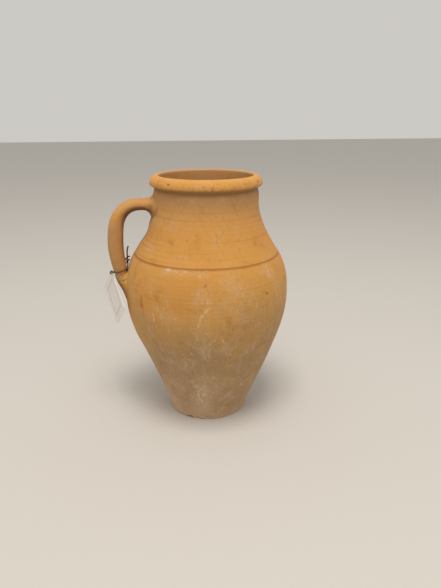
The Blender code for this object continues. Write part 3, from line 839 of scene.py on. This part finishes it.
# Each mark: its two ends in the photograph, its half width in millimetres and its strength
LIME_MARKS = (
    ((164, 269.2), (168, 270.0), 3.0, 0.9),
    ((168, 270.0), (178, 272.0), 2.0, 0.6),
    ((184, 272.0), (203, 273.5), 2.2, 0.6),
    ((200, 274.0), (201, 281.0), 2.6, 0.6),
    ((266, 266.5), (269, 278.0), 2.4, 0.6),
    ((283.9, 273.0), (284.6, 299.0), 1.8, 0.7),
    ((201, 300.5), (209, 300.5), 2.6, 0.7),
    ((208.9, 308.6), (201.2, 317.0), 2.5, 1.0),
    ((201.2, 317.0), (198.4, 327.7), 2.4, 1.0),
    ((198.4, 327.7), (197.0, 340.0), 2.2, 0.9),
    ((202, 303.0), (211, 303.0), 2.0, 0.6),
    ((157.6, 308.4), (160.6, 313.4), 1.9, 0.8),
    ((153.0, 314.0), (154.1, 320.5), 1.8, 0.7),
    ((170, 316.5), (175.8, 319.5), 2.0, 0.6),
    ((221, 336.7), (225.3, 344.7), 1.8, 0.7),
    ((210, 343.8), (210, 344.4), 2.2, 0.8),
    ((208.9, 350.6), (208.9, 352.2), 2.0, 0.8),
    ((191.4, 352.8), (191.8, 354.6), 1.9, 0.8),
    ((191.7, 361.6), (192.6, 367.0), 1.8, 0.5),
    ((190.5, 344.0), (190.5, 345.2), 1.8, 0.7),
    ((229.3, 346.8), (231.3, 365.0), 1.6, 0.5),
    ((169.7, 374.4), (170.2, 375.6), 1.8, 0.7),
    ((202, 394.6), (202, 395.6), 2.4, 0.9),
    ((202.8, 386.0), (202.8, 387.4), 2.2, 0.9),
    ((212, 376.0), (213, 378.0), 2.0, 0.7),
    ((240, 383.0), (240, 384.4), 2.0, 0.7),
    ((198, 388.0), (201, 404.0), 12.0, 0.45),
)
# Broad places with a film of pale dust
DUST_MARKS = (
    ((206, 296.0), (199, 340.0), 16.0, 0.6),
    ((229, 282.0), (246, 296.0), 18.0, 0.7),
    ((236, 308.0), (241, 321.0), 14.0, 0.6),
    ((165, 271.0), (205, 275.0), 8.0, 0.8),
    ((156, 308.0), (176, 320.0), 11.0, 0.6),
    ((266, 268.0), (280, 300.0), 12.0, 0.6),
    ((190, 345.0), (225, 350.0), 13.0, 0.6),
    ((205, 382.0), (204, 405.0), 20.0, 1.0),
)
SOOT_MARKS = (
    ((266.6, 293.4), (267.4, 294.4), 2.6, 1.0),
    ((205.5, 286.0), (207.5, 290.0), 6.5, 0.45),
    ((233.0, 329.0), (231.5, 334.0), 1.5, 0.6),
    ((231.5, 334.5), (229.0, 340.0), 1.4, 0.5),
    ((264.4, 301.0), (262.5, 311.4), 1.4, 0.55),
    ((167.6, 184.6), (169.2, 185.0), 2.0, 0.9),
    ((178, 184.5), (186, 185.5), 1.6, 0.6),
    ((203.0, 187.6), (204.4, 187.6), 1.8, 0.9),
    ((213.4, 183.3), (214.6, 183.3), 1.6, 0.8),
    ((218.2, 185.0), (219.4, 185.0), 1.7, 0.8),
    ((244.2, 184.8), (245.8, 184.8), 1.9, 0.9),
    ((257.4, 181.3), (258.4, 181.8), 2.2, 1.0),
)
CHIP_MARKS = (
    ((189.0, 416.6), (192.0, 417.2), 3.0, 0.9),
    ((197.0, 417.4), (199.0, 417.5), 2.6, 0.6),
    ((207.0, 417.6), (211.0, 417.5), 3.2, 1.0),
    ((228.0, 414.6), (230.0, 414.0), 2.6, 0.7),
)
# Crease at the handle's foot: a real shallow groove, its dark colour painted shade
HANDLE_CREASE_SHADE = (
    ((118.5, 282.0), (122.5, 281.0), 1.6, 0.55),
    ((122.5, 281.0), (127.5, 278.5), 1.7, 0.7),
)
# Dirt and painted shade in the corners where the handle meets the neck and the belly
NECK_GRIME_AND_SHADE_MARKS = (((150.0, 207.5), (156.0, 212.0), 11.0, 0.6),)
BELLY_GRIME_AND_SHADE_MARKS = (((126.6, 269.0), (127.8, 278.0), 5.0, 0.9),)
RUST_MARKS = (
    ((141.2, 297.0), (141.8, 306.0), 7.0, 0.75),
    ((147, 296.0), (150, 299.0), 5.0, 0.4),
)


def marked(obj, marks, seen=seen_on_jar):
    """How strongly marks show at each point of a piece."""
    mesh = obj.data
    places = np.empty(len(mesh.vertices) * 3)
    mesh.vertices.foreach_get("co", places)
    places = places.reshape(-1, 3)
    values = np.zeros(len(places))
    for start, end, width, strength in marks:
        a, b = (np.array(seen(*spot)) for spot in (start, end))
        line = b - a
        along = np.clip((places - a) @ line / max(line @ line, 1e-12), 0.0, 1.0)
        away = np.linalg.norm(places - a - along[:, None] * line, axis=1)
        values = np.maximum(values, strength * np.clip(1.0 - away / (width * MM), 0.0, 1.0))
    return values


def lay(obj, layer, values):
    """Keeps a value for each point of a piece, which the clay's finish reads."""
    obj.data.attributes.new(layer, "FLOAT", "POINT").data.foreach_set("value", values)


def paint_grime_and_shade(handle):
    """How much dirt of the hands and painted shade lie at each point of the handle: most on the
    fingers' side and under the top.
    """
    grime_and_shade, dulled = [], []
    for vert in handle.data.vertices:
        clear = 1.0 - dip(max(out_of_wall(vert.co), 0.0), HANDLE_FADE)
        # painted shade with dirt: darker where the handle faces the finger hole, and where it faces
        # down under the top
        to_fingers = (FINGER_HOLE - vert.co).normalized().dot(vert.normal)
        top = share((vert.co.z - BOW_TOP_Z) / BOW_FADE)
        on_bow = to_fingers + BOW_GRIME_AND_SHADE_REACH
        on_top = TOP_GRIME_AND_SHADE_REACH - TOP_GRIME_AND_SHADE_FALL * vert.normal.z
        facing = share(on_bow * (1.0 - top) + on_top * top)
        strength = BOW_GRIME_AND_SHADE + (1.0 - BOW_GRIME_AND_SHADE) * top
        grime_and_shade.append(facing * max(clear, TOP_GRIME_AND_SHADE_AT_WALL * top) * strength)
        dulled.append(clear * (1.0 - top))
    corners = marked(handle, NECK_GRIME_AND_SHADE_MARKS + BELLY_GRIME_AND_SHADE_MARKS, seen_on(handle))
    lay(handle, "grime_and_shade", np.maximum(grime_and_shade, corners))
    lay(handle, "dulled", dulled)


def paint_wheel_lines(obj):
    """How strongly the lines of the wheel show at each point of a thrown piece."""
    lay(obj, "wheel", [dip(vert.co.z - WHEEL_Z, WHEEL_REACH) for vert in obj.data.vertices])


# Finishes


def node(tree, kind, inputs=None, **settings):
    """Adds a node, sets it up, and links or fills its inputs."""
    made = tree.nodes.new("ShaderNode" + kind)
    for key, value in settings.items():
        setattr(made, key, value)
    for key, value in (inputs or {}).items():
        if isinstance(value, bpy.types.NodeSocket):
            tree.links.new(value, made.inputs[key])
        else:
            made.inputs[key].default_value = value
    return made


def new_finish(name):
    material = bpy.data.materials.new(name)
    material.use_nodes = True
    tree = material.node_tree
    return material, tree, tree.nodes["Principled BSDF"]


def noise_value(tree, coords, scale, detail=3.0, roughness=0.55, distortion=0.0):
    made = node(tree, "TexNoise", {
        "Vector": coords, "Scale": scale, "Detail": detail,
        "Roughness": roughness, "Distortion": distortion,
    })
    return made.outputs["Fac"]


def spread(tree, value, low, high, to_low=0.0, to_high=1.0):
    """A value spread softly from one range to another; low may be above high."""
    made = node(tree, "MapRange", {
        "Value": value, "From Min": low, "From Max": high, "To Min": to_low, "To Max": to_high,
    }, interpolation_type="SMOOTHSTEP")
    return made.outputs["Result"]


def sums(tree, operation, first, second):
    return node(tree, "Math", {0: first, 1: second}, operation=operation).outputs[0]


def times(tree, first, second):
    return sums(tree, "MULTIPLY", first, second)


def distance(tree, value, place):
    return sums(tree, "ABSOLUTE", sums(tree, "SUBTRACT", value, place), 0.0)


def band(tree, value, comes, goes):
    """1 in a band of values, with soft ends."""
    return times(tree, spread(tree, value, *comes), spread(tree, value, *goes))


def blend(tree, amount, first, second):
    return node(tree, "Mix", {0: amount, 6: first, 7: second}, data_type="RGBA").outputs[2]


def stretched(tree, coords, scale):
    return node(tree, "Mapping", {"Vector": coords, "Scale": scale}).outputs[0]


def ramp(tree, value, stops):
    made = node(tree, "ValToRGB", {"Fac": value})
    elements = made.color_ramp.elements
    while len(elements) < len(stops):
        elements.new(0.5)
    for element, (place, colour) in zip(elements, stops):
        element.position = place
        element.color = colour
    return made.outputs["Color"]


def painted(tree, layer):
    return node(tree, "Attribute", attribute_name=layer).outputs["Fac"]


# Clay's colour by height, from the base to the rim: pale at the base, darker and greyer down the
# lower flank;
# the dull band just under the rim is partly a greyer tone and partly painted shade of the rim's
# overhang
CLAY_AND_RIM_SHADE_BY_HEIGHT = (
    (0.000, srgb(204, 172, 139)),
    (0.150, srgb(174, 142, 107)),
    (0.300, srgb(173, 139, 98)),
    (0.440, srgb(189, 145, 89)),
    (0.560, srgb(203, 150, 78)),
    (0.800, srgb(203, 145, 72)),
    (0.870, srgb(201, 148, 84)),
    # Partly painted shade: this dull stop lies just under the rim's overhang, partly a greyer tone
    (0.940, srgb(183, 140, 95)),
    (0.955, srgb(207, 151, 80)),
    (1.000, srgb(211, 153, 80)),
)
# Shades that lie over it
WARM_CLAY = srgb(204, 136, 66)
DUSTY_CLAY = srgb(198, 164, 124)
DARK_CLAY = srgb(150, 100, 58)
WHEEL_LINE = srgb(150, 98, 50)
WORN_STREAK = srgb(202, 178, 146)
SCUFF = srgb(216, 188, 148)
DIRT = srgb(120, 88, 60)
# Painted shade in the incised line at the shoulder
GROOVE_SHADE_BROWN = srgb(152, 90, 38)
DULL_INSIDE = srgb(186, 148, 120)
RIM_PIT = srgb(142, 106, 70)
# Dirt and painted shade in the crease under the rim, and painted shade on the roll's underside
CREASE_DIRT_AND_SHADE = srgb(96, 70, 50)
PALE_FOOT = srgb(206, 178, 140)
PALE_GRAIN = srgb(222, 184, 134)
DARK_GRAIN = srgb(128, 86, 50)
DARK_SAND = srgb(112, 76, 50)
DULLED_CLAY = srgb(146, 120, 100)
# Dirt with painted shade on the handle's inner side, under its top and in the corners at its ends
GRIME_AND_SHADE_BROWN = srgb(84, 56, 38)
PALE_DUST = srgb(214, 190, 156)
LIME_CRUST = srgb(222, 200, 168)
RUST_RED = srgb(176, 92, 42)
# Sooty marks, and painted shade in the crease at the handle's foot
SOOT_AND_CREASE_SHADE = srgb(92, 64, 42)
SHEEN_TINT = srgb(255, 236, 208)

# Radii between which the inside turns into the outside at the mouth
OUTSIDE = (64.0 * MM, 67.0 * MM)
INSIDE = (63.0 * MM, 61.9 * MM)

# Heights between which the marks of the rim, the mouth and the foot come and go,
# with dirt and painted shade in the crease under the rim and painted shade in the incised line
MOUTH_COMES = (0.27, 0.3)
PITS_COME, PITS_GO = (0.3145, 0.3175), (0.326, 0.3215)
CREASE_SHADE_COMES, CREASE_SHADE_GOES = (0.3095, 0.3135), (0.3195, 0.315)
FOOT_GOES, FOOT_RAGGEDNESS = (0.009, 0.001), 0.004
GROOVE_SHADE_GOES = (2.3 * MM, 0.7 * MM)


def clay_textures(tree):
    """What the clay's colours and bumps are made from: places, noises and painted layers."""
    coords = node(tree, "TexCoord").outputs["Object"]
    flat = node(tree, "VectorMath", {0: coords, 1: (1.0, 1.0, 0.0)}, operation="MULTIPLY")
    radius = node(tree, "VectorMath", {0: flat.outputs[0]}, operation="LENGTH")
    flecks = stretched(tree, coords, (250.0, 250.0, 130.0))
    streaks = stretched(tree, coords, (85.0, 85.0, 12.0))
    turns = stretched(tree, coords, (5.0, 5.0, 240.0))
    return SimpleNamespace(
        height=node(tree, "SeparateXYZ", {0: coords}).outputs["Z"],
        radius=radius.outputs["Value"],
        cloud=noise_value(tree, coords, 10.0, 5.0, 0.6),
        mottle=noise_value(tree, coords, 46.0, 6.0, 0.62, 0.4),
        fleck=noise_value(tree, flecks, 1.0, 5.0, 0.65, 0.3),
        grain=noise_value(tree, coords, 480.0, 6.0, 0.7),
        sand=noise_value(tree, coords, 1500.0, 2.0, 0.6),
        streak=noise_value(tree, streaks, 1.0, 6.0, 0.65, 0.6),
        wheel=noise_value(tree, turns, 1.0, 3.0, 0.55),
        lines=painted(tree, "wheel"),
    )


def fired_colour_and_rim_shade(tree, clay):
    """The clay's colour by height, with painted shade just under the rim, clouded, mottled and
    lined by the wheel.
    """
    drift = node(tree, "MapRange", {"Value": clay.cloud, "To Min": -0.11, "To Max": 0.11})
    drift = times(tree, drift.outputs[0], spread(tree, clay.height, 0.25, 0.2))
    level = node(tree, "MapRange", {
        "Value": sums(tree, "ADD", clay.height, drift), "From Max": RIM_TOP_Z,
    })
    # painted shade: the ramp darkens the neck just under the rim
    colour = ramp(tree, level.outputs[0], CLAY_AND_RIM_SHADE_BY_HEIGHT)
    warm = spread(tree, clay.cloud, 0.45, 0.7, 0.0, 0.35)
    warm = times(tree, warm, spread(tree, clay.height, 0.1, 0.2))
    colour = blend(tree, warm, colour, WARM_CLAY)
    colour = blend(tree, spread(tree, clay.mottle, 0.5, 0.74, 0.0, 0.4), colour, DUSTY_CLAY)
    colour = blend(tree, spread(tree, clay.mottle, 0.46, 0.26, 0.0, 0.38), colour, DARK_CLAY)
    lined = times(tree, spread(tree, clay.wheel, 0.46, 0.3, 0.0, 0.28), clay.lines)
    return blend(tree, lined, colour, WHEEL_LINE)


def worn_colour(tree, clay, colour):
    """Pale streaks and scuffs low on the jar, and dirt in patches."""
    worn = times(tree, spread(tree, clay.streak, 0.5, 0.72), spread(tree, clay.height, 0.215, 0.12))
    colour = blend(tree, times(tree, worn, 0.42), colour, WORN_STREAK)
    scuffs = times(tree, spread(tree, clay.fleck, 0.55, 0.7), spread(tree, clay.mottle, 0.4, 0.58))
    scuffs = times(tree, scuffs, spread(tree, clay.height, 0.25, 0.17, 0.12, 0.6))
    colour = blend(tree, scuffs, colour, SCUFF)
    dirt = times(tree, spread(tree, clay.fleck, 0.45, 0.3), spread(tree, clay.cloud, 0.6, 0.4))
    return blend(tree, times(tree, dirt, 0.34), colour, DIRT)


def edge_colour(tree, clay, colour):
    """Painted shade in the incised line, the mouth, the rim's pits, dirt and painted shade in the
    crease under the rim with painted shade on the roll's underside, and the rubbed foot.
    """
    # painted shade in the incised line at the shoulder
    groove_shade = spread(tree, distance(tree, clay.height, SHOULDER_Z), *GROOVE_SHADE_GOES)
    groove_shade = times(tree, groove_shade, clay.lines)
    colour = blend(tree, times(tree, groove_shade, 0.55), colour, GROOVE_SHADE_BROWN)
    outside = spread(tree, clay.radius, *OUTSIDE)
    inside = times(
        tree, spread(tree, clay.radius, *INSIDE), spread(tree, clay.height, *MOUTH_COMES)
    )
    colour = blend(tree, times(tree, inside, 0.3), colour, DULL_INSIDE)
    pits = times(tree, band(tree, clay.height, PITS_COME, PITS_GO), outside)
    pits = times(tree, pits, spread(tree, clay.fleck, 0.5, 0.34, 0.0, 0.55))
    colour = blend(tree, pits, colour, RIM_PIT)
    # dirt and painted shade in the crease under the rim, painted shade on the roll's underside
    crease = times(tree, band(tree, clay.height, CREASE_SHADE_COMES, CREASE_SHADE_GOES), outside)
    colour = blend(tree, times(tree, crease, 0.5), colour, CREASE_DIRT_AND_SHADE)
    ragged = spread(tree, clay.fleck, 0.3, 0.7, -FOOT_RAGGEDNESS, FOOT_RAGGEDNESS)
    foot = spread(tree, sums(tree, "ADD", clay.height, ragged), *FOOT_GOES)
    return blend(tree, times(tree, foot, 0.5), colour, PALE_FOOT)


def grain_colour(tree, clay, colour):
    """Pale and dark grains, and sand."""
    colour = blend(tree, spread(tree, clay.grain, 0.6, 0.76, 0.0, 0.3), colour, PALE_GRAIN)
    colour = blend(tree, spread(tree, clay.grain, 0.4, 0.26, 0.0, 0.45), colour, DARK_GRAIN)
    return blend(tree, spread(tree, clay.sand, 0.65, 0.73, 0.0, 0.45), colour, DARK_SAND)


def mark_colour(tree, clay, colour):
    """The painted marks: handling, dirt with painted shade on the handle and at its ends, dust,
    lime, rust, and sooty marks with painted shade in the crease at the handle's foot.
    """
    colour = blend(tree, times(tree, painted(tree, "dulled"), 0.32), colour, DULLED_CLAY)
    # painted shade with dirt on the handle's inner side, under its top and in the corners at its
    # ends
    grime_and_shade = spread(tree, painted(tree, "grime_and_shade"), 0.1, 0.9, 0.0, 0.8)
    colour = blend(tree, grime_and_shade, colour, GRIME_AND_SHADE_BROWN)
    film = times(tree, painted(tree, "dust"), spread(tree, clay.grain, 0.5, 0.62, 0.12, 0.6))
    colour = blend(tree, film, colour, PALE_DUST)
    ragged = spread(tree, clay.fleck, 0.36, 0.66, 0.2, 1.2)
    lime = spread(tree, times(tree, painted(tree, "lime"), ragged), 0.06, 0.62)
    colour = blend(tree, times(tree, lime, 0.66), colour, LIME_CRUST)
    rust = times(tree, painted(tree, "rust"), ragged)
    colour = blend(tree, spread(tree, rust, 0.05, 0.7, 0.0, 0.8), colour, RUST_RED)
    # sooty marks, and painted shade in the crease at the handle's foot
    soot_and_crease_shade = times(tree, painted(tree, "soot_and_crease_shade"), ragged)
    return blend(tree, spread(tree, soot_and_crease_shade, 0.1, 0.6, 0.0, 0.75), colour, SOOT_AND_CREASE_SHADE)


def clay_bumps(tree, clay):
    """The wheel's lines, the grain and the sand, one over the other."""
    layers = (
        (0.3, 0.35, times(tree, clay.wheel, clay.lines)),
        (0.5, 0.5, clay.grain),
        (0.4, 0.25, clay.sand),
    )
    normal = {}
    for strength, millimetres, relief in layers:
        bump = node(tree, "Bump", {
            "Strength": strength, "Distance": millimetres * MM, "Height": relief, **normal,
        })
        normal = {"Normal": bump.outputs[0]}
    return normal["Normal"]


def clay_finish():
    material, tree, shader = new_finish("earthenware_clay")
    clay = clay_textures(tree)
    colour = fired_colour_and_rim_shade(tree, clay)
    for layer in (worn_colour, edge_colour, grain_colour, mark_colour):
        colour = layer(tree, clay, colour)
    tree.links.new(colour, shader.inputs["Base Color"])
    tree.links.new(spread(tree, clay.grain, 0.3, 0.7, 0.8, 0.95), shader.inputs["Roughness"])
    tree.links.new(clay_bumps(tree, clay), shader.inputs["Normal"])
    shader.inputs["Specular IOR Level"].default_value = 0.22
    shader.inputs["Sheen Weight"].default_value = 0.1
    shader.inputs["Sheen Roughness"].default_value = 0.45
    shader.inputs["Sheen Tint"].default_value = SHEEN_TINT
    return material


def lace_finish():
    material, tree, shader = new_finish("brown_lace_leather")
    coords = node(tree, "TexCoord").outputs["Object"]
    hide = noise_value(tree, coords, 650.0, 5.0, 0.65)
    wear = noise_value(tree, coords, 170.0, 3.0)
    colour = blend(tree, spread(tree, hide, 0.3, 0.7), srgb(66, 42, 26), srgb(122, 84, 52))
    colour = blend(tree, spread(tree, wear, 0.5, 0.7, 0.0, 0.6), colour, srgb(160, 116, 74))
    tree.links.new(colour, shader.inputs["Base Color"])
    tree.links.new(spread(tree, hide, 0.3, 0.7, 0.72, 0.5), shader.inputs["Roughness"])
    bump = node(tree, "Bump", {"Strength": 0.5, "Distance": 0.2 * MM, "Height": hide})
    tree.links.new(bump.outputs[0], shader.inputs["Normal"])
    return material


def card_finish():
    """White card with a plain gilt line round it."""
    material, tree, shader = new_finish("white_card")
    coords = node(tree, "TexCoord").outputs["Object"]
    fibre = noise_value(tree, coords, 900.0, 4.0, 0.6)
    stain = noise_value(tree, coords, 60.0, 3.0)
    colour = blend(tree, spread(tree, fibre, 0.3, 0.7), srgb(232, 226, 219), srgb(246, 242, 236))
    colour = blend(tree, spread(tree, stain, 0.5, 0.75, 0.0, 0.25), colour, srgb(232, 220, 202))
    spot = node(tree, "UVMap", uv_map="card_print").outputs["UV"]
    parts = node(tree, "SeparateXYZ", {0: spot})
    insets = []
    for name, size in (("X", TAG_WIDTH), ("Y", TAG_LENGTH)):
        from_edge = sums(tree, "SUBTRACT", 0.5, distance(tree, parts.outputs[name], 0.5))
        insets.append(times(tree, from_edge, size / MM))
    inset = sums(tree, "MINIMUM", *insets)
    line = sums(tree, "LESS_THAN", distance(tree, inset, GILT_INSET), GILT_HALF_WIDTH)
    colour = blend(tree, times(tree, line, 0.85), colour, srgb(186, 140, 74))
    tree.links.new(colour, shader.inputs["Base Color"])
    shader.inputs["Roughness"].default_value = 0.62
    bump = node(tree, "Bump", {"Strength": 0.25, "Distance": 0.06 * MM, "Height": fibre})
    tree.links.new(bump.outputs[0], shader.inputs["Normal"])
    return material


def floor_finish():
    material, _, shader = new_finish("pale_floor")
    shader.inputs["Base Color"].default_value = srgb(208, 204, 198)
    shader.inputs["Roughness"].default_value = 0.9
    shader.inputs["Specular IOR Level"].default_value = 0.1
    return material


def hand_over(piece, finish, slot, body, *nodes):
    """Gives a piece its finish, and its place in the frame."""
    piece.data.materials.clear()
    piece.data.materials.append(finish)
    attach(piece, body)
    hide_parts(*nodes)


def main():
    place_camera()
    studio()
    clay = clay_finish()
    clay_pieces = (
        (make_lower_wall(), ("lower_body",)),
        (make_shoulder_wall(), ("shoulder_and_neck",)),
        (make_rim(), ("rolled_rim",)),
        (make_handle(), ("handle", "handle_top_lute", "handle_foot_lute")),
    )
    for piece, nodes in clay_pieces:
        lime, chips = marked(piece, LIME_MARKS), marked(piece, CHIP_MARKS)
        if piece.name == "pulled_handle":
            # painted shade in the crease at the handle's foot, with its relief
            soot_and_crease_shade = marked(piece, HANDLE_CREASE_SHADE, seen_on(piece))
            paint_grime_and_shade(piece)
        else:
            soot_and_crease_shade = marked(piece, SOOT_MARKS)
            # dirt and painted shade in the corner under the handle's upper end
            lay(piece, "grime_and_shade", marked(piece, NECK_GRIME_AND_SHADE_MARKS))
            paint_wheel_lines(piece)
        lay(piece, "lime", lime)
        lay(piece, "soot_and_crease_shade", soot_and_crease_shade)
        lay(piece, "rust", marked(piece, RUST_MARKS))
        lay(piece, "dust", marked(piece, DUST_MARKS))
        settle(piece, lime, soot_and_crease_shade, chips)
        hand_over(piece, clay, "earthenware", "jar", *nodes)
    hand_over(make_lace(), lace_finish(), "lace_leather", "jar", "tie_lace")
    hand_over(make_tag(), card_finish(), "tag_card", "tag", "hang_tag")


main()
